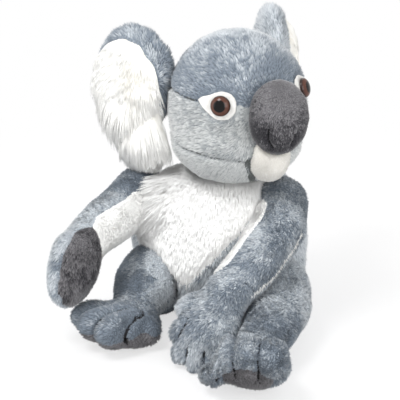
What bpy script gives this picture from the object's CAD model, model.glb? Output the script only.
import bmesh
import bpy
import math
import numpy as np
from mathutils import Matrix, Vector
from mathutils.bvhtree import BVHTree
from mathutils.kdtree import KDTree


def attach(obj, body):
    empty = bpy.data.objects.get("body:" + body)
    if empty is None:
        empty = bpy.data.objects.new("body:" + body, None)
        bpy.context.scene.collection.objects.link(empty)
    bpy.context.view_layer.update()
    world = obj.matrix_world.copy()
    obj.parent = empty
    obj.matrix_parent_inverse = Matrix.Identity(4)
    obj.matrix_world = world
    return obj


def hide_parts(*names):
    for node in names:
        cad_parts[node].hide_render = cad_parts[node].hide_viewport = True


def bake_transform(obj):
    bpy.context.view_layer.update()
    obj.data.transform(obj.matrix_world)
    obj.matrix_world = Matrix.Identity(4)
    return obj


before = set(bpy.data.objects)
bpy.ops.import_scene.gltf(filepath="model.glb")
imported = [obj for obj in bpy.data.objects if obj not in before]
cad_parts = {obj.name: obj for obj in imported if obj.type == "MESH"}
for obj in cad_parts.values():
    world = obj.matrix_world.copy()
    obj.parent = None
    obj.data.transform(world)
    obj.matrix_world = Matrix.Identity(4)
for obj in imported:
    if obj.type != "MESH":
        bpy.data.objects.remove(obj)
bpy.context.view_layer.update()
scene = bpy.context.scene
print("frame loaded", len(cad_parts), "nodes")


def mm(x, y, z):
    return np.array((x, y, z), float) / 1000


def unit(vectors):
    vectors = np.asarray(vectors, float)
    length = np.linalg.norm(vectors, axis=-1, keepdims=True)
    return vectors / np.maximum(length, 1e-12)


def rise(values, low, span):  # 0 up to low, then up to 1 over the span
    return np.clip((values - low) / span, 0, 1)


def fall(values, high, span):  # 0 from high upwards, and up to 1 a span below it
    return np.clip((high - values) / span, 0, 1)


def besideSegment(points, a, b):  # the place along it, and the distance to it
    t = ((points - a) @ (b - a)) / max((b - a) @ (b - a), 1e-12)
    return t, np.linalg.norm(points - a - np.clip(t, 0, 1)[:, None] * (b - a), axis=1)


# camera, at the photograph's own angle

cameraLook = {
    "at": (0.324, -1.112, 0.480),
    "target": (-0.0236, 0.0247, 0.0940),
    "lens": 117.19,
    "sensor": 36.0,
}


def addCamera(look):
    data = bpy.data.cameras.new("camera")
    data.lens, data.sensor_width, data.clip_end = look["lens"], look["sensor"], 30
    camera = bpy.data.objects.new("camera", data)
    scene.collection.objects.link(camera)
    camera.location = look["at"]
    aim = Vector(look["target"]) - Vector(look["at"])
    camera.rotation_euler = aim.to_track_quat("-Z", "Y").to_euler()
    scene.camera = camera


addCamera(cameraLook)


# shader nodes, written as sums

class Wire:
    def __init__(self, tree, socket):
        self.tree, self.socket = tree, socket

    def put(self, socket, value):
        if isinstance(value, Wire):
            self.tree.links.new(value.socket, socket)
        elif value is not None:
            socket.default_value = value

    def node(self, kind, settings=None, out=0, **values):
        made = self.tree.nodes.new(kind)
        for name, value in (settings or {}).items():
            if name == "stops":
                ramp = made.color_ramp
                while len(ramp.elements) < len(value):
                    ramp.elements.new(0.5)
                for element, (place, colour) in zip(ramp.elements, value):
                    element.position, element.color = place, (*colour, 1)
            else:
                setattr(made, name, value)
        for name, value in values.items():
            key = int(name[1:]) if name[0] == "i" and name[1:].isdigit() else name.replace("_", " ")
            self.put(made.inputs[key], value)
        return Wire(self.tree, made.outputs[out])

    def maths(self, operation, a, b):
        return self.node("ShaderNodeMath", {"operation": operation}, i0=a, i1=b)

    def __add__(self, other):
        return self.maths("ADD", self, other)

    def __radd__(self, other):
        return self.maths("ADD", other, self)

    def __mul__(self, other):
        return self.maths("MULTIPLY", self, other)

    def __rmul__(self, other):
        return self.maths("MULTIPLY", other, self)

    def band(self, low, high):  # 0 below low, 1 above high
        return self.node("ShaderNodeMapRange", {"interpolation_type": "SMOOTHSTEP"}, i0=self, i1=low, i2=high)

    def mix(self, a, b):  # self picks between two colours
        return self.node("ShaderNodeMix", {"data_type": "RGBA"}, out=2, i0=self, i6=a, i7=b)


def colour(red, green, blue):  # from 0 to 255 on screen
    share = np.array((red, green, blue)) / 255
    linear = np.where(share <= 0.04045, share / 12.92, ((share + 0.055) / 1.055) ** 2.4)
    return tuple(float(x) for x in linear)


def ramp(*stops):  # each stop is a place and a colour
    return [(place, colour(*shade)) for place, *shade in stops]


def newMaterial(name, **plain):
    material = bpy.data.materials.new(name)
    material.use_nodes = True
    shader = material.node_tree.nodes["Principled BSDF"]
    for socket, value in plain.items():
        shader.inputs[socket.replace("_", " ")].default_value = value
    return material, Wire(material.node_tree, None), shader


threadColour = colour(250, 249, 246)
stainBand = (0.03, 0.07)  # below it the pile is stained
toneBand = (0.12, 0.95)  # from the dark ramp to the light one
threadBand = (0.965, 0.975)  # above it the pile is pale thread


def pileMaterial(name, look):  # u runs from root to tip, v is the shade from dark to light
    material, start, shader = newMaterial(
        name, Roughness=0.9, Sheen_Weight=look["sheen"], Sheen_Roughness=0.4, Specular_IOR_Level=0.15
    )
    place = start.node("ShaderNodeUVMap", {"uv_map": "OFBake"})
    along = start.node("ShaderNodeSeparateXYZ", i0=place)
    tint = Wire(along.tree, along.socket.node.outputs[1])
    dark = along.node("ShaderNodeValToRGB", {"stops": look["dark"]}, i0=along)
    light = along.node("ShaderNodeValToRGB", {"stops": look["light"]}, i0=along)
    mixed = tint.band(*toneBand).mix(dark, light)
    stained = tint.band(*stainBand).mix((*look["stain"], 1), mixed)
    threaded = tint.band(*threadBand).mix(stained, (*threadColour, 1))
    start.put(shader.inputs["Base Color"], threaded)
    return material


greyPlushLook = {
    "sheen": 0.25,
    "dark": ramp((0, 74, 82, 92), (0.35, 114, 124, 135), (0.75, 140, 150, 161), (1, 166, 175, 185)),
    "light": ramp((0, 144, 151, 159), (0.35, 196, 203, 209), (0.75, 223, 228, 232), (1, 241, 243, 245)),
    "stain": colour(52, 51, 54),
}
palePlushLook = {
    "sheen": 0.25,
    "dark": ramp((0, 104, 109, 113), (0.35, 152, 157, 160), (0.75, 178, 182, 184), (1, 200, 203, 204)),
    "light": ramp((0, 146, 150, 152), (0.35, 200, 203, 203), (0.75, 222, 224, 223), (1, 236, 237, 236)),
    "stain": colour(98, 102, 101),
}
whitePileLook = {
    "sheen": 0.1,
    "dark": ramp((0, 212, 209, 202), (0.4, 224, 221, 214), (1, 232, 229, 223)),
    "light": ramp((0, 242, 241, 238), (0.4, 251, 251, 249), (1, 254, 254, 253)),
    "stain": colour(190, 186, 178),
}
earPileLook = {
    "sheen": 0.1,
    "dark": ramp((0, 222, 214, 194), (0.5, 241, 237, 226), (1, 248, 246, 240)),
    "light": ramp((0, 244, 241, 233), (0.5, 252, 251, 247), (1, 254, 254, 252)),
    "stain": colour(196, 186, 164),
}
darkPlushLook = {
    "sheen": 0.3,
    "dark": ramp((0, 28, 27, 30), (0.35, 50, 49, 53), (0.75, 66, 65, 69), (1, 86, 85, 88)),
    "light": ramp((0, 70, 69, 72), (0.35, 122, 121, 124), (0.75, 150, 148, 151), (1, 176, 174, 176)),
    "stain": colour(20, 19, 21),
}
materials = {
    "grey_plush": pileMaterial("greyPlush", greyPlushLook),
    "pale_plush": pileMaterial("palePlush", palePlushLook),
    "white_pile": pileMaterial("whitePile", whitePileLook),
    "ear_pile": pileMaterial("earPile", earPileLook),
    "dark_plush": pileMaterial("darkPlush", darkPlushLook),
}


def plainFabric(name, low, high, scale):  # a cloudy cloth between two colours
    material, start, shader = newMaterial(name, Roughness=0.95)
    place = start.node("ShaderNodeTexCoord", out=3)
    cloud = place.node("ShaderNodeTexNoise", out=0, Vector=place, Scale=scale, Detail=5.0)
    start.put(shader.inputs["Base Color"], cloud.band(0.35, 0.65).mix((*low, 1), (*high, 1)))
    start.put(shader.inputs["Normal"], cloud.node("ShaderNodeBump", Strength=0.5, Distance=0.001, Height=cloud))
    return material


fibre = plainFabric("fibreFill", colour(214, 210, 200), colour(244, 241, 234), 180.0)
print("fabrics made")


# meshes as arrays

def deselect():
    if bpy.context.object and bpy.context.object.mode != "OBJECT":
        bpy.ops.object.mode_set(mode="OBJECT")
    bpy.ops.object.select_all(action="DESELECT")


def choose(obj):
    deselect()
    obj.select_set(True)
    bpy.context.view_layer.objects.active = obj


def applied(obj, kind, **settings):
    choose(obj)
    modifier = obj.modifiers.new(kind.lower(), kind)
    for name, value in settings.items():
        setattr(modifier, name, value)
    bpy.ops.object.modifier_apply(modifier=modifier.name)


def valuesOf(items, field, each, kind=float):
    found = np.empty(len(items) * each, kind)
    items.foreach_get(field, found)
    return found.reshape(-1, each)


def pointsOf(mesh):
    return valuesOf(mesh.vertices, "co", 3)


def setPoints(mesh, points):
    mesh.vertices.foreach_set("co", np.ascontiguousarray(points, np.float32).ravel())
    mesh.update()


def normalsOf(mesh):
    return valuesOf(mesh.vertex_normals, "vector", 3)


def trianglesOf(mesh):
    mesh.calc_loop_triangles()
    return valuesOf(mesh.loop_triangles, "vertices", 3, np.int32)


def edgesOf(mesh):
    return valuesOf(mesh.edges, "vertices", 2, np.int32)


def averaged(values, edges, rounds):  # each vertex takes its neighbours' mean
    for _ in range(rounds):
        total, count = values.copy(), np.ones(len(values))
        for a, b in (edges.T, edges.T[::-1]):
            np.add.at(total, a, values[b])
            np.add.at(count, a, 1)
        values = total / (count if values.ndim == 1 else count[:, None])
    return values


def cloudy(points, grain, seed):  # a smooth random field over space, from -1 to 1
    cell = points / grain + 500
    low = np.floor(cell).astype(np.int64)
    t = cell - low
    t = t * t * (3 - 2 * t)
    total = np.zeros(len(points))
    for corner in np.ndindex(2, 2, 2):
        at = low + corner
        key = at[:, 0] * 73856093 ^ at[:, 1] * 19349663 ^ at[:, 2] * 83492791 ^ (seed + 1) * 40503
        key = ((key ^ (key >> 13)) * 1274126177) & 0x7FFFFFFF
        key = ((key ^ (key >> 15)) * 951274213) & 0x7FFFFFFF
        value = ((key >> 7) & 0xFFFF) / 32767.5 - 1
        total += value * np.prod(np.where(corner, t, 1 - t), axis=1)
    return total


def treeOf(*nodes):
    points, faces = [], []
    for node in nodes:
        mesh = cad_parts[node].data
        start = len(points)
        points += [Vector(p) for p in pointsOf(mesh)]
        faces += [tuple(int(i) + start for i in t) for t in trianglesOf(mesh)]
    return BVHTree.FromPolygons(points, faces)


def nearestOf(points):
    tree = KDTree(len(points))
    for i, p in enumerate(points):
        tree.insert(p, i)
    tree.balance()
    return tree


def distances(tree, points, most=0.05):
    found = [tree.find_nearest(Vector(p), most)[3] for p in points]
    return np.array([most if d is None else d for d in found])


# stuffed forms

smoothShare = 0.5
puffFrames = 20


def gathered(name, nodes, eggs=()):  # the nodes' solids and some eggs, joined in one mesh
    deselect()
    parts = []
    for node in nodes:
        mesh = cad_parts[node].data.copy()
        part = bpy.data.objects.new(name, mesh)
        scene.collection.objects.link(part)
        parts.append(part)
    for at, sizes, turn in eggs:
        bpy.ops.mesh.primitive_uv_sphere_add(segments=24, ring_count=14, radius=1)
        part = bpy.context.object
        part.matrix_world = Matrix.Translation(at) @ turn.to_4x4() @ Matrix.Diagonal((*(s / 2 for s in sizes), 1))
        part.select_set(True)
        bpy.ops.object.transform_apply(location=True, rotation=True, scale=True)
        parts.append(part)
    deselect()
    for part in parts:
        part.select_set(True)
    bpy.context.view_layer.objects.active = parts[0]
    if len(parts) > 1:
        bpy.ops.object.join()
    whole = bpy.context.object
    whole.name = name
    mesh = bmesh.new()
    mesh.from_mesh(whole.data)
    bmesh.ops.remove_doubles(mesh, verts=mesh.verts, dist=1e-6)
    mesh.to_mesh(whole.data)
    mesh.free()
    return whole


def keepOuter(obj):  # the remesh leaves gaps between solids behind as loose shells inside
    mesh = bmesh.new()
    mesh.from_mesh(obj.data)
    left, islands = set(mesh.verts), []
    while left:
        seed = left.pop()
        island, front = {seed}, [seed]
        while front:
            for edge in front.pop().link_edges:
                for vert in edge.verts:
                    if vert in left:
                        left.discard(vert)
                        island.add(vert)
                        front.append(vert)
        islands.append(island)
    islands.sort(key=len)
    bmesh.ops.delete(mesh, geom=[v for island in islands[:-1] for v in island], context="VERTS")
    mesh.to_mesh(obj.data)
    mesh.free()


def puff(obj, pressure, cap):  # cloth under pressure, moved no further than cap
    choose(obj)
    before = pointsOf(obj.data)
    modifier = obj.modifiers.new("puff", "CLOTH")
    modifier.collision_settings.use_collision = False
    modifier.collision_settings.use_self_collision = False
    cloth = modifier.settings
    cloth.use_pressure, cloth.uniform_pressure_force = True, pressure
    cloth.effector_weights.gravity = 0
    cloth.quality = 4
    scene.frame_start, scene.frame_end = 1, puffFrames
    for number in range(1, puffFrames + 1):
        scene.frame_set(number)
    bpy.ops.object.modifier_apply(modifier="puff")
    scene.frame_set(1)
    move = pointsOf(obj.data) - before
    far = np.linalg.norm(move, axis=1, keepdims=True)
    setPoints(obj.data, before + move * np.minimum(1, cap / np.maximum(far, 1e-9)))


def stuffed(name, nodes, look, eggs=(), crisp=None):  # crisp is how little each place is smoothed
    obj = gathered(name, nodes, eggs)
    applied(obj, "REMESH", mode="VOXEL", voxel_size=look["voxel"])
    keepOuter(obj)
    applied(obj, "SMOOTH", factor=smoothShare, iterations=4)
    light = pointsOf(obj.data)
    applied(obj, "SMOOTH", factor=smoothShare, iterations=look["smooth"] - 4)
    if crisp:
        share = crisp(light)[:, None]
        setPoints(obj.data, pointsOf(obj.data) * (1 - share) + light * share)
        applied(obj, "SMOOTH", factor=smoothShare, iterations=1)
    puff(obj, look["pressure"], look["cap"])
    applied(obj, "SMOOTH", factor=smoothShare, iterations=3)
    applied(obj, "SUBSURF", levels=1, render_levels=1)
    setPoints(obj.data, pointsOf(obj.data) + normalsOf(obj.data) * look["swell"])
    print("stuffed", name, len(obj.data.vertices))
    return obj


def regions(obj, nodes, reach=()):  # each vertex's node, its distance to a seam, and to ink, none as yet
    points, edges = pointsOf(obj.data), edgesOf(obj.data)
    far = np.full(len(points), 1.0)
    if len(nodes) == 1:
        return np.zeros(len(points), int), far, far
    away = np.stack([distances(treeOf(node), points) for node in nodes], 1)
    away = averaged(away, edges, 9)
    for node, extra in dict(reach).items():
        away[:, nodes.index(node)] -= extra(points) if callable(extra) else extra
    label = away.argmin(1)
    order = np.sort(away, axis=1)
    margin = order[:, 1] - order[:, 0] + 1e-6
    a, b = edges[label[edges[:, 0]] != label[edges[:, 1]]].T
    share = (margin[a] / (margin[a] + margin[b]))[:, None]
    tree = nearestOf(points[a] * (1 - share) + points[b] * share)
    return label, np.array([tree.find(p)[2] for p in points]), far


# pile: thousands of leaning tufts over a backing

inkWidth = 0.0009
backingThickness = 0.0016
shadeRange = (0.1, 0.95)
stainShade, threadShade = 0.02, 0.985
pileHabits = {
    "clump": 6,
    "gather": 0.45,
    "wander": 0.5,
    "sink": 0.0004,
    "seamWidth": 0.0028,  # nearer to a seam the pile is shorter and darker
    "seamLength": 0.3,
    "seamShade": 0.5,
    "leastRoom": 0.12,  # shorter tufts than this share are left out
    "lengthCloud": (0.3, 0.009),
    "lengthSpread": 0.25,
    "leanCloud": (0.18, 0.012),
    "leanSpread": 0.2,
    "mostLean": 0.95,
    "tipSpread": 0.08,
    "thinnest": 0.75,
    "widthSpread": 0.5,
}
lockShape = {"wave": 2.2, "taper": 0.6, "thinnest": 0.7, "widthSpread": 0.6}


def sampled(points, normals, faces, count, rng):  # random places on the surface
    corners = points[faces]
    area = np.linalg.norm(np.cross(corners[:, 1] - corners[:, 0], corners[:, 2] - corners[:, 0]), axis=1) / 2
    count = int(count(area.sum() * 1e6)) if callable(count) else count
    edges = np.cumsum(area) / area.sum()
    spread = (np.arange(count) + rng.random(count)) / count
    face = np.minimum(np.searchsorted(edges, spread), len(faces) - 1)
    a, b = np.sqrt(rng.random(count)), rng.random(count)
    share = np.stack([1 - a, a * (1 - b), a * b], 1)[:, :, None]
    return (corners[face] * share).sum(1), unit((normals[faces[face]] * share).sum(1)), faces[face], share[:, :, 0]


def clumps(points, each, rng):  # for every point, the place of its clump's middle
    picked = points[rng.choice(len(points), max(1, len(points) // each), replace=False)]
    tree = nearestOf(picked)
    near = np.array([tree.find(p)[1] for p in points])
    return picked[near], near


def laid(normals, flow):  # the flow, laid on the surface
    return unit(flow - normals * (flow * normals).sum(1, keepdims=True))


def marked(shade, inked):  # far below 0 is the stain, far above 1 the pale thread
    plain = np.where(shade > 5, threadShade, np.clip(shade, *shadeRange))
    return np.where(inked | (shade < -1), stainShade, plain)


def pile(points, normals, faces, seam, ink, look, flow, rng, tint, keepOff=None):
    look = {**pileHabits, **look}
    base, normal, corner, share = sampled(points, normals, faces, lambda area: area * look["perSquareMm"], rng)
    edge = (seam[corner] * share).sum(1)
    inked = (ink[corner] * share).sum(1) < inkWidth
    drawn = np.clip(edge / look["seamWidth"], 0, 1)
    room = look["seamLength"] + (1 - look["seamLength"]) * drawn
    if keepOff is not None:
        room = room * keepOff(base)
        kept = room > look["leastRoom"]
        base, normal, room, drawn, inked = base[kept], normal[kept], room[kept], drawn[kept], inked[kept]
    count = len(base)
    middle, clump = clumps(base, look["clump"], rng)
    wander = np.stack([cloudy(base, look["swirl"], s) for s in (11, 12, 13)], 1)
    direction = laid(normal, unit(flow(base)) + look["wander"] * wander)
    patches, grain = look["lengthCloud"]
    uneven = 1 + patches * cloudy(base, grain, 5) + look["lengthSpread"] * (rng.random(count) - 0.5)
    length = look["length"] * room * uneven
    patches, grain = look["leanCloud"]
    lean = look["lean"] + patches * cloudy(base, grain, 7) + look["leanSpread"] * (rng.random(count) - 0.5)
    lean = np.clip(lean, 0, look["mostLean"])
    tip = normal * (length * np.sqrt(1 - lean**2))[:, None] + direction * (length * lean)[:, None]
    gather = (middle - base) * look["gather"]
    gather -= normal * (gather * normal).sum(1, keepdims=True)
    tip = base + tip + gather + rng.normal(0, look["length"] * look["tipSpread"], (count, 3))
    side = unit(np.cross(direction, normal))
    turn = rng.random(count) * 2 * np.pi
    width = look["width"] * (look["thinnest"] + look["widthSpread"] * rng.random(count))
    rim = []
    for k in range(3):
        angle = turn + k * 2 * np.pi / 3
        rim.append(side * np.cos(angle)[:, None] + direction * np.sin(angle)[:, None])
    sunk = base - normal * look["sink"]
    verts = np.stack([sunk + r * width[:, None] for r in rim] + [tip], 1).reshape(-1, 3)
    soft = np.stack([unit(normal * 0.75 + r * 0.5) for r in rim] + [unit(normal * 0.8 + direction * 0.25)], 1)
    start = np.arange(count) * 4
    tris = np.stack([start, start + 1, start + 3, start + 1, start + 2, start + 3, start + 2, start, start + 3], 1)
    shade = marked(tint(base, clump, rng) - look["seamShade"] * (1 - drawn), inked)
    uv = np.empty((count, 4, 2))
    for k, (u, dv) in enumerate(((0.05, -0.003), (0.05, 0.003), (0.09, 0.0), (0.97, 0.0))):
        uv[:, k, 0], uv[:, k, 1] = u, shade + dv
    return verts, tris.reshape(-1, 3), uv.reshape(-1, 2), soft.reshape(-1, 3)


def locks(base, normal, start, length, bend, look, rng, tint):  # long hair, as bent three-sided strands
    look = {**lockShape, **look}
    count, rings = len(base), look["rings"]
    middle, clump = clumps(base, look["clump"], rng)
    share = np.linspace(0, 1, rings + 1)
    curl = unit(rng.normal(size=(count, 3))) * look["curl"]
    lock = unit(rng.normal(size=(clump.max() + 1, 3)))[clump] * look["lockCurl"]
    spine = []
    for t in share:
        p = base + (start * t + bend * t * t + (curl + lock) * math.sin(look["wave"] * t) * t) * length[:, None]
        spine.append(p + (middle - base) * look["gather"] * t)
    spine = np.stack(spine, 1)
    way = unit(spine[:, 1:] - spine[:, :-1])
    side = unit(np.cross(way[:, 0], normal + 1e-4))
    other = unit(np.cross(way[:, 0], side))
    width = look["width"] * (look["thinnest"] + look["widthSpread"] * rng.random(count))
    verts, soft, uv = [], [], []
    lift = np.array((0, 0, look.get("lift", 0)))  # turns the shading up towards the light
    shade = np.clip(tint(base, clump, rng), *shadeRange)
    for i in range(rings):
        t = share[i]
        for k in range(3):
            angle = k * 2 * np.pi / 3
            out = side * math.cos(angle) + other * math.sin(angle)
            verts.append(spine[:, i] + out * (width * (1 - t) ** look["taper"])[:, None])
            soft.append(unit(normal * (1 - 0.3 * t) + out * 0.35 + lift))
            uv.append(np.stack([np.full(count, 0.05 + 0.9 * t + 0.01 * k), shade + (k - 1) * 0.003], 1))
    verts.append(spine[:, -1])
    soft.append(unit(normal * 0.5 + way[:, -1] * 0.4 + lift))
    uv.append(np.stack([np.full(count, 0.97), shade], 1))
    each = rings * 3 + 1
    tris = []
    for i in range(rings - 1):
        for k in range(3):
            a, b = i * 3 + k, i * 3 + (k + 1) % 3
            tris += [(a, b, b + 3), (a, b + 3, a + 3)]
    last = (rings - 1) * 3
    tris += [(last + k, last + (k + 1) % 3, each - 1) for k in range(3)]
    tris = np.array(tris)[None] + (np.arange(count) * each)[:, None, None]
    verts, uv, soft = np.stack(verts, 1), np.stack(uv, 1), np.stack(soft, 1)
    return verts.reshape(-1, 3), tris.reshape(-1, 3), uv.reshape(-1, 2), soft.reshape(-1, 3)


def backing(points, normals, faces, tint, rng, ink):  # the cloth, closed along its edges
    used, local = np.unique(faces, return_inverse=True)
    faces = local.reshape(-1, 3)
    points, normals = points[used], normals[used]
    count = len(points)
    verts = np.concatenate([points, points - normals * backingThickness])
    soft = np.concatenate([normals, -normals])
    sides = {}
    for a, b in faces[:, [0, 1, 1, 2, 2, 0]].reshape(-1, 2).tolist():
        if (b, a) in sides:
            del sides[(b, a)]
        else:
            sides[(a, b)] = True
    wall = [t for a, b in sides for t in ((b, a, a + count), (b, a + count, b + count))]
    tris = np.concatenate([faces, faces[:, ::-1] + count, np.array(wall, int).reshape(-1, 3)])
    shade = marked(tint(points, np.arange(count), rng), ink[used] < inkWidth)
    along = 0.2 + 0.02 * rng.random(2 * count)
    uv = np.stack([along, np.tile(shade, 2) + 0.006 * (rng.random(2 * count) - 0.5)], 1)
    return verts, tris, uv, soft


def pressed(height, soft=0.002):  # what would reach below the floor lies flat on it
    return np.where(height < soft, soft * np.exp((np.minimum(height, soft) - soft) / soft), height)


def pieceFrom(name, parts, material):  # parts are vertices, triangles, UVs and shading normals
    starts = np.cumsum([0] + [len(p[0]) for p in parts[:-1]])
    points = np.concatenate([p[0] for p in parts])
    points[:, 2] = pressed(points[:, 2])
    faces = np.concatenate([p[1] + s for p, s in zip(parts, starts)]).astype(np.int32)
    uv = np.concatenate([p[2] for p in parts])
    soft = np.concatenate([p[3] for p in parts])
    mesh = bpy.data.meshes.new(name)
    mesh.vertices.add(len(points))
    mesh.vertices.foreach_set("co", points.astype(np.float32).ravel())
    mesh.loops.add(len(faces) * 3)
    mesh.loops.foreach_set("vertex_index", faces.ravel())
    mesh.polygons.add(len(faces))
    mesh.polygons.foreach_set("loop_start", np.arange(0, len(faces) * 3, 3, dtype=np.int32))
    mesh.update(calc_edges=True)
    layer = mesh.uv_layers.new(name="OFBake")
    layer.uv.foreach_set("vector", uv[faces.ravel()].astype(np.float32).ravel())
    mesh.shade_smooth()
    mesh.normals_split_custom_set_from_vertices(soft.astype(np.float32))
    mesh.materials.append(material)
    obj = bpy.data.objects.new(name, mesh)
    scene.collection.objects.link(obj)
    print("piece", name, len(faces), "faces")
    return obj


def mottled(middle, deep, grain, seed, clumpShade=0.12, strand=0.11):  # a shade with patches and pressed lines
    def tint(points, clump, rng):
        each = rng.normal(0, clumpShade, int(clump.max()) + 1)[clump] if clumpShade else 0
        broad = cloudy(points, grain, seed) + 0.5 * cloudy(points, grain / 2.7, seed + 1)
        part = np.clip(1 - abs(cloudy(points, grain * 0.5, seed + 7)) / 0.1, 0, 1)
        part *= np.clip(2.5 * cloudy(points, grain * 1.3, seed + 9), 0, 1)
        return middle + deep * (broad - 1.1 * part) + each + rng.normal(0, strand, len(points))
    return tint


def trending(tint, middle, radius, change):  # darker or lighter towards a place
    def changed(points, clump, rng):
        near = np.clip(1.4 - np.linalg.norm(points - middle, axis=1) / radius, 0, 1)
        return tint(points, clump, rng) + change * near
    return changed


def dress(form, name, region, look, flow, material, tint, seed, keepOff=None, extra=None):
    label, seam, ink = region
    points, normals, faces = pointsOf(form.data), normalsOf(form.data), trianglesOf(form.data)
    if look.get("marks"):
        plain = tint
        tint = lambda at, clump, rng: look["marks"](at, plain(at, clump, rng))
    faces = faces[(label[faces] == look["index"]).sum(1) >= 2]
    rng = np.random.default_rng(seed)
    parts = [backing(points, normals, faces, tint, rng, ink)]
    if look.get("perSquareMm"):
        parts.append(pile(points, normals, faces, seam, ink, look, flow, rng, tint, keepOff))
    if extra:
        parts.append(extra(points, normals, faces, rng))
    piece = pieceFrom(name, parts, materials[material])
    "white_pile" if material == "ear_pile" else material
    return piece


def toLine(points, line):  # distance to a run of short lines
    best = np.full(len(points), 1.0)
    for a, b in zip(line[:-1], line[1:]):
        best = np.minimum(best, besideSegment(points, a, b)[1])
    return best


def seamed(form, seam, width, depth):  # draws the fabric in along its seams
    points, normals = pointsOf(form.data), normalsOf(form.data)
    near = np.clip(1 - seam / width, 0, 1) ** 2
    setPoints(form.data, points - normals * (near * depth)[:, None])


fillingLook = {"share": 0.12, "offFloor": 0.004, "under": 0.0035}


def filling(form, node, depth):  # a plain form inside the skin
    deselect()
    inner = bpy.data.objects.new(node + "_form", form.data.copy())
    scene.collection.objects.link(inner)
    setPoints(inner.data, pointsOf(inner.data) - normalsOf(inner.data) * depth)
    points = pointsOf(inner.data)
    points[:, 2] = pressed(points[:, 2] - fillingLook["offFloor"]) + fillingLook["offFloor"]
    setPoints(inner.data, points)
    applied(inner, "DECIMATE", ratio=fillingLook["share"])
    applied(inner, "SMOOTH", factor=smoothShare, iterations=4)
    outer = BVHTree.FromPolygons([Vector(p) for p in pointsOf(form.data)], trianglesOf(form.data).tolist())
    points = pointsOf(inner.data)
    for i, p in enumerate(points):
        at, normal = outer.find_nearest(Vector(p))[:2]
        if (Vector(p) - at).dot(normal) > -fillingLook["under"]:
            points[i] = at - normal * fillingLook["under"]
    setPoints(inner.data, points)
    choose(inner)
    bpy.ops.object.shade_smooth()
    inner.data.materials.clear()
    inner.data.materials.append(fibre)
    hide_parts(node)
    return inner


def finished(piece, body, node):
    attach(piece, body)
    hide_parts(node)


# the head

headTurn = math.radians(43)
headAt = mm(18.91, 2.30, 198)
headTurned = np.array([
    [math.cos(headTurn), -math.sin(headTurn), 0],
    [math.sin(headTurn), math.cos(headTurn), 0],
    [0, 0, 1],
])


def inHead(points):  # into the head's own frame, where the face looks along -Y
    return (points - headAt) @ headTurned


def fromHead(x, y, z):
    return headAt + headTurned @ mm(x, y, z)


headLook = {
    "form": {"voxel": 0.004, "smooth": 26, "pressure": 3, "cap": 0.003, "swell": 0.0004},
    "pile": {
        "perSquareMm": 0.95, "length": 0.0036, "width": 0.00073, "lean": 0.76,
        "clump": 7, "swirl": 0.022, "wander": 0.55,
    },
    "seam": (0.004, 0.0028),  # width and depth
    "bare": (0.0022, 0.0042),  # round eyes, nose and muzzle
    "filling": 0.0055,
    "cloth": {
        "head_crown": ("grey_plush", trending(mottled(0.2, 0.3, 0.02, 21), fromHead(0, 15, 66), 0.05, 0.6)),
        "left_cheek": ("pale_plush", mottled(0.62, 0.32, 0.02, 23, 0.18, 0.16)),
        "right_cheek": ("pale_plush", mottled(0.62, 0.32, 0.02, 23, 0.18, 0.16)),
        "chin_panel": ("pale_plush", mottled(0.85, 0.2, 0.02, 25)),
    },
}


def faceFlow(points):  # away from the nose and down
    away = inHead(points) - np.array((0, -0.085, -0.005))
    away[:, 2] -= 0.012
    return away @ headTurned.T


def clearOf(tree, low, high):  # no pile nearer than low, all of it beyond high
    def room(points):
        found = distances(tree, points, high + 0.001)
        return rise(found, low, high - low)
    return room


def chinMarks(base, shade):  # dark gusset beside the mouth
    local = inHead(base) * 1000
    down = -36 - local[:, 2]
    strip = abs(abs(local[:, 0]) - (20.6 - 0.38 * down - 0.011 * down**2)) < 3
    return np.where(strip & (down > 0) & (local[:, 1] < -30), -9, shade)


def makeHead():
    nodes = list(headLook["cloth"])
    form = stuffed("head_form", nodes + ["head_stuffing"], headLook["form"])
    label, seam, _ = regions(form, nodes)
    local = inHead(pointsOf(form.data))
    smooth = (abs(local[:, 0]) < 0.034) & (local[:, 2] > 0) & (local[:, 1] < 0)  # no line from eye to nose
    seam = np.where(smooth, 1.0, seam)
    seamed(form, seam, *headLook["seam"])
    off = clearOf(treeOf("left_eye_patch", "right_eye_patch", "nose", "muzzle"), *headLook["bare"])
    for i, (node, (material, tint)) in enumerate(headLook["cloth"].items()):
        look = {**headLook["pile"], "index": i, "marks": chinMarks}
        piece = dress(form, node + "_fur", (label, seam, seam), look, faceFlow, material, tint, 100 + i, off)
        finished(piece, "head", node)
    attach(filling(form, "head_stuffing", headLook["filling"]), "head")
    bpy.data.objects.remove(form)


noseLook = {
    "form": {"voxel": 0.003, "smooth": 14, "pressure": 2, "cap": 0.002, "swell": 0.0002},
    "pile": {
        "perSquareMm": 1.7, "length": 0.0017, "width": 0.00053, "lean": 0.8,
        "gather": 0.3, "swirl": 0.018, "wander": 0.4, "sink": 0.0003,
    },
    "seam": (0.005, 0.0035),
    "folds": [
        [mm(67.8, -77.7, 196.6), mm(66.6, -75.8, 187.3), mm(69.8, -70.8, 179.2)],
        [mm(89.5, -66.6, 191.1), mm(85.9, -64.9, 181.6)],
    ],
    "filling": 0.0055,
    "cloth": "dark_plush",
    "shade": trending(mottled(0.1, 0.22, 0.015, 31, 0.17, 0.15), fromHead(-4, -92, 32), 0.034, 0.95),
}
muzzleLook = {
    "form": {"voxel": 0.002, "smooth": 14, "pressure": 2, "cap": 0.002, "swell": 0.001},
    "pile": {
        "perSquareMm": 1.7, "length": 0.0016, "width": 0.00049, "lean": 0.75,
        "gather": 0.3, "swirl": 0.018, "wander": 0.3, "sink": 0.0003,
    },
    "seam": (0.005, 0.0035),
    "folds": [],
    "filling": None,
    "cloth": "white_pile",
    "shade": mottled(0.15, 0.12, 0.015, 33),
}


def straightDown(points):
    return np.tile(np.array((0.0, 0.0, -1.0)), (len(points), 1))


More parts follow.
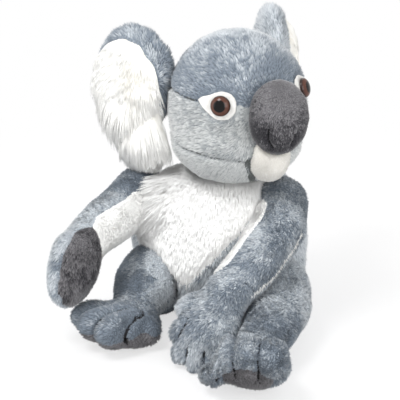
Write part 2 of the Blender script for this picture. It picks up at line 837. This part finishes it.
def makeSnout(name, look, seed):  # the nose or the muzzle
    nodes = [name] + ([name + "_stuffing"] if look["filling"] else [])
    form = stuffed(name + "_form", nodes, look["form"])
    label, seam, _ = regions(form, [name])
    points = pointsOf(form.data)
    for line in look["folds"]:
        seam = np.minimum(seam, toLine(points, line))
    seamed(form, seam, *look["seam"])
    furLook = {**look["pile"], "index": 0}
    piece = dress(form, name + "_fur", (label, seam, seam), furLook, straightDown, look["cloth"], look["shade"], seed)
    finished(piece, "head", name)
    if look["filling"]:
        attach(filling(form, name + "_stuffing", look["filling"]), "head")
    bpy.data.objects.remove(form)


makeHead()
makeSnout("nose", noseLook, 131)
makeSnout("muzzle", muzzleLook, 133)
print("head made")


# the torso and its bib

bodyLook = {
    "form": {"voxel": 0.0045, "smooth": 30, "pressure": 4, "cap": 0.005, "swell": 0.0004},
    "pile": {"perSquareMm": 0.58, "length": 0.0044, "width": 0.00088, "lean": 0.74, "swirl": 0.026},
    "seam": (0.004, 0.0016),
    "filling": 0.006,
    "shade": mottled(0.82, 0.3, 0.024, 41),
}
bibLook = {
    "hair": {
        "count": 19000, "length": 0.0085, "width": 0.00075, "rings": 2, "lift": 0.35,
        "clump": 8, "gather": 0.25, "curl": 0.12, "lockCurl": 0.12,
    },
    "shade": mottled(1.05, 0.1, 0.012, 43, 0.05, 0.03),
    "backingShade": mottled(0.95, 0.1, 0.02, 43),
}


def downFlow(points):
    flow = straightDown(points)
    flow[:, 1] -= 0.15
    return flow


def bibReach(at):  # the bib's hair spreads up over the neck
    y, z = at[:, 1], at[:, 2]
    return 0.02 * rise(z, 0.105, 0.02) + 0.025 * (rise(z, 0.118, 0.008) * fall(y, 0.016, 0.01))


def shoulderShare(at):  # where the bib's hair lies over the right arm
    x, y, z = at.T
    return fall(x, -0.026, 0.016) * rise(z, 0.085, 0.02) * fall(y, 0.004, 0.012)


def bibStrands(points, normals, faces, rng):
    hair = bibLook["hair"]
    base, normal, _, _ = sampled(points, normals, faces, hair["count"], rng)
    over = shoulderShare(base)
    uneven = 1 + 0.3 * cloudy(base, 0.012, 3) + 0.3 * (rng.random(len(base)) - 0.5)
    length = hair["length"] * uneven * (1 + 1.3 * over)
    down = laid(normal, downFlow(base))
    start = normal * 0.42 + down * 0.75 + np.array((-0.9, -0.3, 0.1)) * over[:, None]
    bend = down * 0.3 - normal * 0.2
    return locks(base, normal, start, length, bend, hair, rng, bibLook["shade"])


def makeTorso():
    nodes = ["body_skin", "chest_bib"]
    form = stuffed("torso_form", nodes + ["body_stuffing"], bodyLook["form"])
    region = regions(form, nodes, {"chest_bib": bibReach})
    seamed(form, region[1], *bodyLook["seam"])
    look = {**bodyLook["pile"], "index": 0}
    piece = dress(form, "body_fur", region, look, downFlow, "grey_plush", bodyLook["shade"], 141)
    finished(piece, "body", "body_skin")
    tint = bibLook["backingShade"]
    piece = dress(form, "bib_fur", region, {"index": 1}, downFlow, "white_pile", tint, 143, extra=bibStrands)
    finished(piece, "body", "chest_bib")
    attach(filling(form, "body_stuffing", bodyLook["filling"]), "body")
    bpy.data.objects.remove(form)


makeTorso()
print("torso made")


# arms and legs

limbPile = {"perSquareMm": 0.82, "length": 0.0034, "width": 0.0008, "lean": 0.76, "swirl": 0.024}
limbLook = {
    "form": {"voxel": 0.0026, "smooth": 20, "pressure": 3, "cap": 0.003, "swell": 0.0004},
    "skin": limbPile,
    "panel": {**limbPile, "perSquareMm": 1.25, "length": 0.0024, "width": 0.00072, "lean": 0.8, "seamShade": 0},
    "sole": {
        **limbPile, "perSquareMm": 1.2, "length": 0.003, "width": 0.0007,
        "seamShade": -0.5, "seamWidth": 0.0016,
    },
    "seam": (0.003, 0.0012),
    "creaseWidth": 0.0028,
    "filling": 0.006,
}


def leftToes(points):  # the hand lies on the inner toes
    x, y, z = points.T
    inner = fall(x, 0.066, 0.01) * fall(y, -0.14, 0.015)
    return np.stack([x, y, z * (1 - 0.45 * inner)], 1)


def rightToe(points):  # the big toe is drawn in
    x, y, z = points.T
    inner = rise(x, -0.036, 0.008) * fall(y, -0.1, 0.03)
    return np.stack([x, y + inner * 0.4 * (-0.1 - y), z * (1 - 0.1 * inner)], 1)


def paleThigh(base, shade):  # the inner side of the thigh is cut from the belly's paler cloth
    x, y, z = base.T
    inner = rise(x + 0.2 * (y + 0.05), -0.054, 0.006) * rise(z, 0.012, 0.008) * rise(y, -0.094, 0.01)
    fleck = np.clip(3 * cloudy(base, 0.006, 77) - 1.4, 0, 1)
    return shade + inner * (0.66 - 0.7 * fleck)


def whiteSeam(base, shade):  # the inner panel's far edge shows as a pale line along the arm
    start, end = mm(69, -57, 91), mm(47, -98, 65)
    outer, near = np.array((0.698, 0.012, -0.593)), np.array((0.488, -0.667, 0.56))
    way = unit(end - start)
    t = ((base - start) @ way) / np.linalg.norm(end - start)
    spoke = unit((base - start) - ((base - start) @ way)[:, None] * way)
    angle = np.degrees(np.arctan2(spoke @ near, spoke @ outer))
    on = (abs(angle - 29 - 2 * np.sin(9 * t)) < 4.4) & (t > -0.4) & (t < 1.1)
    return np.where(on, 9, shade)


def lowSole(at):  # the right sole reaches up round its lower edge
    return 0.013 * fall(at[:, 2], 0.021, 0.008)


limbs = {
    "left_arm": {
        "run": [mm(63, -4, 108), mm(69, -57, 91), mm(47, -98, 65), mm(32, -125, 37)],
        "long": (-0.14, -0.6, -0.78), "pad": (0.05, 0.79, -0.6), "thumb": -1, "spread": 1, "crisp": 0.4,
        "reach": {"left_palm_pad": 0.003, "left_arm_inner_panel": 0.003},
        "marks": whiteSeam,
        "shade": 0.43, "pawShade": 0.08, "padShade": 0.58, "inkFaint": 1.6,
        "panel": "left_arm_inner_panel", "sole": "left_palm_pad",
        "folds": [
            [mm(52.7, -114.3, 71.9), mm(60.1, -111.9, 69.1), mm(66.5, -105.6, 59.2)],
            [mm(8.5, -121, 46), mm(16, -130, 44.5), mm(24.9, -136.8, 44.4)],
        ],
    },
    "right_arm": {
        "run": [mm(-73, -4, 108), mm(-79.5, -48, 93), mm(-89, -94, 89), mm(-94, -118, 77)],
        "long": (-0.16, -0.34, -0.92), "pad": (0.95, -0.28, 0.1), "thumb": 1, "spread": 0.2, "crisp": 0,
        "make": {"smooth": 46},
        "reach": {"right_palm_pad": 0.006, "right_arm_inner_panel": 0.008},
        "shade": 0.14, "pawShade": 0.62, "padShade": 0.58,
        "panel": "right_arm_inner_panel", "sole": "right_palm_pad",
    },
    "left_leg": {
        "run": [mm(65, -36, 33.5), mm(78, -84, 30), mm(80, -134, 29), mm(81, -177, 26)],
        "long": (0.1, -0.75, 0.66), "pad": (0.05, -0.66, -0.75), "thumb": -1, "spread": 0.3, "crisp": 0.55,
        "reach": {"left_sole_pad": -0.004},
        "press": leftToes,
        "pile": {"perSquareMm": 0.73, "width": 0.00084},
        "shade": 0.76, "pawShade": -0.45, "padShade": 0.9, "inkFaint": 2,
        "panel": None, "sole": "left_sole_pad",
        "folds": [[mm(69.1, -134.9, 44.6), mm(86.9, -143.7, 45.1), mm(97.4, -130.1, 38.9)]],
    },
    "right_leg": {
        "run": [mm(-49, -36, 33.5), mm(-52, -60, 31), mm(-49, -86, 23), mm(-50, -108, 18)],
        "long": (-0.62, -0.75, 0.16), "pad": (-0.1, -0.12, -0.98), "thumb": 1, "spread": 1, "crisp": 0.7,
        "reach": {"right_sole_pad": lowSole},
        "press": rightToe,
        "marks": paleThigh,
        "shade": 0.42, "pawShade": -0.28, "padShade": 0.78,
        "panel": None, "sole": "right_sole_pad",
        "folds": [[mm(-52.4, -95.6, 38.3), mm(-39.4, -100.3, 34), mm(-27.1, -108.9, 25.6)]],
    },
}


def limbFlow(limb):  # along the limb, from the body to the digits
    run = np.array(limb["run"] + [limb["run"][-1] + 0.03 * unit(limb["long"])])

    def flow(points):
        best, way = np.full(len(points), 9.0), np.zeros((len(points), 3))
        for a, b in zip(run[:-1], run[1:]):
            far = besideSegment(points, a, b)[1]
            near = far < best
            best[near], way[near] = far[near], unit(b - a)
        return way
    return flow


pawSizes = {
    "arm": {
        "palm": mm(57, 76, 33), "ahead": 0.007,
        "digit": mm(19, 32, 19), "across": 0.05, "along": 0.06, "crease": 0.0022,
    },
    "leg": {
        "palm": mm(66, 56, 34), "ahead": 0,
        "digit": mm(25, 38, 26), "across": 0.066, "along": 0.056, "crease": 0.0030,
    },
}
digitSwell = 1.04
digitReach = (1.25, 0.7)  # of half its length, behind and ahead of its middle
creaseEnds = {"along": (0.08, 0.04), "apart": 0.85, "fade": 0.01}
digitShares = [(-0.3, 0.45, -0.22), (0, 0.54, 0), (0.3, 0.45, 0.22)]  # across, along and fanned out
thumbShares = {"arm": [(0.4, 0.18, 0.8), (0.42, -0.16, 1.6)], "leg": [(0.42, 0.02, 1.1)]}


def pawOf(name, limb):  # palm and digits as eggs, with the digits' middle lines
    kind = name.split("_")[1]
    sizes = pawSizes[kind]
    long = unit(limb["long"])
    wide = unit(np.cross(long, limb["pad"]))
    pad = np.cross(wide, long)
    middle = limb["run"][-1]
    turn = Matrix(np.stack([wide, long, pad], 1).tolist())
    eggs, axes = [(Vector(middle + long * sizes["ahead"]), sizes["palm"], turn)], []
    thumbs = [(x * limb["thumb"], y, fan * limb["thumb"]) for x, y, fan in thumbShares[kind]]
    for side, forward, fan in digitShares + thumbs:
        way = unit(long + wide * fan * limb["spread"])
        at = middle + wide * side * sizes["across"] + long * forward * sizes["along"]
        turn = Matrix(np.stack([unit(np.cross(way, pad)), way, pad], 1).tolist())
        eggs.append((Vector(at), sizes["digit"] * digitSwell, turn))
        half = sizes["digit"][1] / 2
        axes.append((at - way * half * digitReach[0], at + way * half * digitReach[1]))
    return eggs, axes, middle, long, sizes


def creases(points, axes, sizes):  # how far each point is from the lines between the digits
    where, away = zip(*(besideSegment(points, a, b) for a, b in axes))
    where, away = np.stack(where, 1), np.stack(away, 1)
    order = away.argsort(1)
    rows = np.arange(len(points))
    first, second = away[rows, order[:, 0]], away[rows, order[:, 1]]
    ends = fall(where[rows, order[:, 0]], *creaseEnds["along"])
    ends = np.maximum(ends, rise(second, sizes["digit"][0] * creaseEnds["apart"], 0.002))
    return (second - first) / 2 + ends * creaseEnds["fade"]


def makeLimb(name, limb, seed):
    skin = name + "_skin"
    nodes = [skin] + [limb[k] for k in ("panel", "sole") if limb[k]]
    eggs, axes, middle, long, sizes = pawOf(name, limb)

    def crisp(points):
        return limb["crisp"] * rise((points - middle) @ long, -0.012, 0.016)

    look = {**limbLook["form"], **limb.get("make", {})}
    eggs = eggs if limb["crisp"] else eggs[:1]
    form = stuffed(name + "_form", nodes + [name + "_stuffing"], look, eggs, crisp)
    if "press" in limb:
        setPoints(form.data, limb["press"](pointsOf(form.data)))
    label, seam, _ = regions(form, nodes, limb["reach"])
    crease = creases(pointsOf(form.data), axes, sizes) if limb["crisp"] else np.full(len(label), 1.0)
    for line in limb.get("folds", []):
        crease = np.minimum(crease, toLine(pointsOf(form.data), line))
    seamed(form, crease, limbLook["creaseWidth"], sizes["crease"])
    seamed(form, seam, *limbLook["seam"])
    region = label, np.minimum(seam, crease * 1.2), crease * limb.get("inkFaint", 1)
    flow = limbFlow(limb)
    pivot, bend = limb["run"][0], limb["run"][1]
    way = unit(bend - pivot)
    for i, node in enumerate(nodes):
        if node == skin:
            look = {**limbLook["skin"], "index": i, "marks": limb.get("marks"), **limb.get("pile", {})}
            tint = trending(mottled(limb["shade"], 0.34, 0.02, seed), middle, 0.075, limb["pawShade"])
            piece = dress(form, name + "_fur", region, look, flow, "grey_plush", tint, seed + 1)
        elif node == limb["panel"]:
            look = {**limbLook["panel"], "index": i}
            tint = mottled(1.1, 0.1, 0.02, seed + 2)
            piece = dress(form, node + "_fur", region, look, flow, "white_pile", tint, seed + 3)
        else:
            look = {**limbLook["sole"], "index": i}
            tint = mottled(limb["padShade"], 0.3, 0.016, seed + 4)
            piece = dress(form, node + "_fur", region, look, flow, "dark_plush", tint, seed + 5)
        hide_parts(node)
        tuple(pivot - way * 0.004)
        tuple(pivot + way * 0.03)
        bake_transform(piece)
    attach(filling(form, name + "_stuffing", limbLook["filling"]), name)
    bpy.data.objects.remove(form)


for i, (name, limb) in enumerate(limbs.items()):
    makeLimb(name, limb, 200 + 10 * i)
print("limbs made")


# ears

earLook = {
    "form": {"voxel": 0.003, "smooth": 10, "pressure": 2, "cap": 0.002, "swell": 0.0004},
    "pile": {
        "perSquareMm": 0.86, "length": 0.005, "width": 0.00077, "lean": 0.7,
        "clump": 7, "gather": 0.4, "swirl": 0.02,
    },
    "hair": {
        "count": 11500, "length": 0.0135, "fringe": 0.016, "width": 0.00058, "rings": 3,
        "clump": 11, "gather": 0.2, "curl": 0.04, "lockCurl": 0.07,
    },
    "half": (0.044, 0.049),  # across and up
    "hairEnds": 0.131,  # no hair hangs lower
    "hollowShade": 0.55,
}
ears = {
    "left_ear": {"at": fromHead(68, 60, 28), "facing": math.radians(43 + 73), "root": 1, "shade": 0.7},
    "right_ear": {"at": fromHead(-74, 60, 19), "facing": math.radians(43 - 59), "root": -1, "shade": 0.24},
}


def makeEar(name, ear, seed):
    nodes = [name + "_back", name + "_lining"]
    form = stuffed(name + "_form", nodes, earLook["form"])
    region = regions(form, nodes)
    outward = np.array((math.cos(ear["facing"]), math.sin(ear["facing"]), 0)) * ear["root"]

    def flow(points):
        return points - ear["at"] + outward * 0.02

    tint = mottled(ear["shade"], 0.3, 0.02, seed)
    look = {**earLook["pile"], "index": 0}
    piece = dress(form, name + "_back_fur", region, look, flow, "grey_plush", tint, seed + 1)
    finished(piece, name, nodes[0])

    def strands(points, normals, faces, rng):  # longest where the ear narrows, and hanging below
        hair = earLook["hair"]
        base, normal, _, _ = sampled(points, normals, faces, hair["count"], rng)
        local = base - ear["at"]
        height, across = local[:, 2] / earLook["half"][1], local @ outward / earLook["half"][0]
        low = np.clip(0.2 - height, 0, 1)
        length = hair["length"] + 0.005 * low + hair["fringe"] * np.exp(-((height + 0.66) / 0.3) ** 2)
        length *= 1 + 0.2 * cloudy(base, 0.012, seed) + 0.3 * (rng.random(len(base)) - 0.5)
        length = np.minimum(length, np.maximum(base[:, 2] - earLook["hairEnds"], 0.004))
        spread = 0.15 + 0.75 * np.clip(across + 0.2, -0.4, 1) * (1 - low)
        spread = spread - 0.7 * low * np.clip(-1.5 * across, 0, 1)
        side = outward[None] * spread[:, None]
        side = laid(normal, side + np.array((0, 0, -1.0)) * (0.35 + 0.7 * low)[:, None])
        start = normal * 0.28 + side * 0.85
        bend = np.array((0, 0, -0.25)) - normal * 0.15
        hollow = np.exp(-((height - 0.25) / 0.45) ** 2 - ((across + 0.25) / 0.35) ** 2)
        plain = mottled(0.95, 0.12, 0.01, seed + 2, 0.06, 0.04)
        shaded = lambda at, clump, rng: plain(at, clump, rng) - earLook["hollowShade"] * hollow
        return locks(base, normal, start, length, bend, hair, rng, shaded)

    tint = mottled(0.85, 0.15, 0.02, seed + 2)
    piece = dress(form, name + "_lining_fur", region, {"index": 1}, flow, "ear_pile", tint, seed + 3, extra=strands)
    finished(piece, name, nodes[1])
    bpy.data.objects.remove(form)


for i, (name, ear) in enumerate(ears.items()):
    makeEar(name, ear, 300 + 10 * i)
print("ears made")


# eyes and their felt

eyeLook = {
    "radius": 0.009, "dome": 0.0052, "pupil": 0.0056,
    "spread": 41, "rise": {"left": 19, "right": 12}, "proud": 1.8,
    "black": colour(8, 7, 8), "iris": colour(84, 54, 45), "rim": colour(52, 40, 38),
}
headSize = (127, 128, 134)


def eyePlace(side, sign):
    half = np.array(headSize) / 2
    x, z = sign * eyeLook["spread"], eyeLook["rise"][side]
    y = -half[1] * math.sqrt(1 - (x / half[0]) ** 2 - (z / half[2]) ** 2)
    outward = unit(np.array((x, y, z)) / half**2)
    at = np.array((x, y, z)) + outward * eyeLook["proud"]
    return headAt + headTurned @ at / 1000, headTurned @ outward


def eyeMaterial(name, at, outward):
    material, start, shader = newMaterial(
        name, Roughness=0.05, Specular_IOR_Level=0.1, Coat_Weight=0.3, Coat_Roughness=0.02
    )
    place = start.node("ShaderNodeTexCoord", out=3)
    offset = place.node("ShaderNodeVectorMath", {"operation": "SUBTRACT"}, i0=place, i1=tuple(at))
    across = offset.node("ShaderNodeVectorMath", {"operation": "CROSS_PRODUCT"}, i0=offset, i1=tuple(outward))
    away = across.node("ShaderNodeVectorMath", {"operation": "LENGTH"}, out=1, i0=across)
    grain = place.node("ShaderNodeTexNoise", out=0, Vector=place, Scale=900.0, Detail=3.0)
    iris = (away + grain * 0.0006).band(eyeLook["pupil"] - 0.0004, eyeLook["pupil"] + 0.0005)
    rim = away.band(0.0078, 0.0088)
    base = iris.mix((*eyeLook["black"], 1), (*eyeLook["iris"], 1))
    start.put(shader.inputs["Base Color"], rim.mix(base, (*eyeLook["rim"], 1)))
    return material


def makeEye(side, sign):
    at, outward = eyePlace(side, sign)
    deselect()
    bpy.ops.mesh.primitive_uv_sphere_add(segments=48, ring_count=32, radius=eyeLook["radius"])
    eye = bpy.context.object
    eye.name = side + "_eye_dome"
    bpy.ops.object.mode_set(mode="EDIT")
    bpy.ops.mesh.select_all(action="SELECT")
    bpy.ops.mesh.bisect(plane_co=(0, 0, -0.0005), plane_no=(0, 0, 1), use_fill=True, clear_inner=True)
    bpy.ops.object.mode_set(mode="OBJECT")
    turn = Vector(outward).to_track_quat("Z", "Y").to_matrix().to_4x4()
    eye.matrix_world = Matrix.Translation(at) @ turn @ Matrix.Diagonal((1, 1, eyeLook["dome"] / eyeLook["radius"], 1))
    choose(eye)
    bpy.ops.object.transform_apply(location=True, rotation=True, scale=True)
    bpy.ops.object.shade_smooth_by_angle(angle=math.radians(40))
    eye.data.materials.append(eyeMaterial(side + "Eye", at, outward))
    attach(eye, "head")
    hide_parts(side + "_eye")


feltLook = {
    "low": colour(208, 206, 202),
    "high": colour(230, 229, 226),
    "flat": (0.0355, 0.0255),
    "area": 0.00064,
}


def feltMaterial():
    material, start, shader = newMaterial("whiteFelt", Roughness=0.95, Sheen_Weight=0.2)
    place = start.node("ShaderNodeTexCoord", out=3)
    cloud = place.node("ShaderNodeTexNoise", out=0, Vector=place, Scale=260.0, Detail=4.0)
    fuzz = place.node("ShaderNodeTexNoise", out=0, Vector=place, Scale=2400.0, Detail=3.0)
    mixed = (cloud * 0.6 + fuzz * 0.4).band(0.3, 0.7).mix((*feltLook["low"], 1), (*feltLook["high"], 1))
    start.put(shader.inputs["Base Color"], mixed)
    bump = fuzz.node("ShaderNodeBump", Strength=0.4, Distance=0.0004, Height=fuzz)
    start.put(shader.inputs["Normal"], bump)
    return material


def makePatch(side, felt):
    node = side + "_eye_patch"
    patch = gathered(node + "_felt", [node])
    applied(patch, "REMESH", mode="VOXEL", voxel_size=0.0006)
    applied(patch, "SMOOTH", factor=smoothShare, iterations=6)
    choose(patch)
    bpy.ops.object.shade_smooth()
    patch.data.materials.clear()
    patch.data.materials.append(felt)
    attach(patch, "head")
    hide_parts(node)


felt = feltMaterial()
for side, sign in (("left", 1), ("right", -1)):
    makeEye(side, sign)
    makePatch(side, felt)
print("eyes made")


# the washers keep their solids

moulded = plainFabric("washerPlastic", colour(196, 194, 188), colour(222, 220, 214), 90.0)
for node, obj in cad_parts.items():
    if node.endswith("washer"):
        for slot in obj.material_slots:
            slot.material = moulded


# floor, world and lamps

stageLook = {
    "size": 12,
    "floor": (0.9, 0.9, 0.905),
    "fade": (0.15, 0.75),  # from the middle, where the floor turns into plain white
    "leastWhite": 0.65,
    "world": 0.72,  # the camera sees it as white all the same
}


def seenDirect(start):  # 1 for what the camera sees, straight or in a reflection
    rays = start.node("ShaderNodeLightPath")
    return rays.maths("MAXIMUM", rays, Wire(rays.tree, rays.socket.node.outputs["Is Glossy Ray"]))


def makeStage():
    deselect()
    bpy.ops.mesh.primitive_plane_add(size=stageLook["size"], location=(0, 0, 0))
    floor = bpy.context.object
    floor.name = "floor"
    material, start, shader = newMaterial("paleFloor", Roughness=0.9, Specular_IOR_Level=0.1)
    shader.inputs["Base Color"].default_value = (*stageLook["floor"], 1)
    place = start.node("ShaderNodeTexCoord", out=3)
    away = place.node("ShaderNodeVectorMath", {"operation": "LENGTH"}, out=1, i0=place)
    fade = away.band(*stageLook["fade"]) * (1 - stageLook["leastWhite"]) + stageLook["leastWhite"]
    glow = start.node("ShaderNodeEmission", Color=(1, 1, 1, 1), Strength=1.0)
    output = material.node_tree.nodes["Material Output"]
    share, plain = fade * seenDirect(start), Wire(start.tree, shader.outputs[0])
    mixed = start.node("ShaderNodeMixShader", i0=share, i1=plain, i2=glow)
    start.put(output.inputs["Surface"], mixed)
    floor.data.materials.append(material)

    world = bpy.data.worlds.new("studio")
    scene.world = world
    world.use_nodes = True
    begin = Wire(world.node_tree, None)
    light = seenDirect(begin) * (1 - stageLook["world"]) + stageLook["world"]
    background = world.node_tree.nodes["Background"]
    background.inputs["Color"].default_value = (1, 1, 1, 1)
    begin.put(background.inputs["Strength"], light)


lampTarget = (0, -0.03, 0.12)
lamps = {
    "key": {"at": (-0.45, -0.85, 1.5), "size": 0.6, "watts": 15},
    "fill": {"at": (1.15, -1.2, 0.75), "size": 1.2, "watts": 14},
    "side": {"at": (-1.4, -0.7, 0.5), "size": 1.2, "watts": 5},
    "rear": {"at": (-0.3, 1.3, 1.4), "size": 1.2, "watts": 5},
}


def addLamps():
    for name, lamp in lamps.items():
        data = bpy.data.lights.new(name, "AREA")
        data.shape, data.size, data.energy = "SQUARE", lamp["size"], lamp["watts"]
        obj = bpy.data.objects.new(name, data)
        scene.collection.objects.link(obj)
        obj.location = lamp["at"]
        obj.rotation_euler = (Vector(lampTarget) - obj.location).to_track_quat("-Z", "Y").to_euler()


makeStage()
addLamps()
scene.view_settings.view_transform = "Standard"
print("stage made")
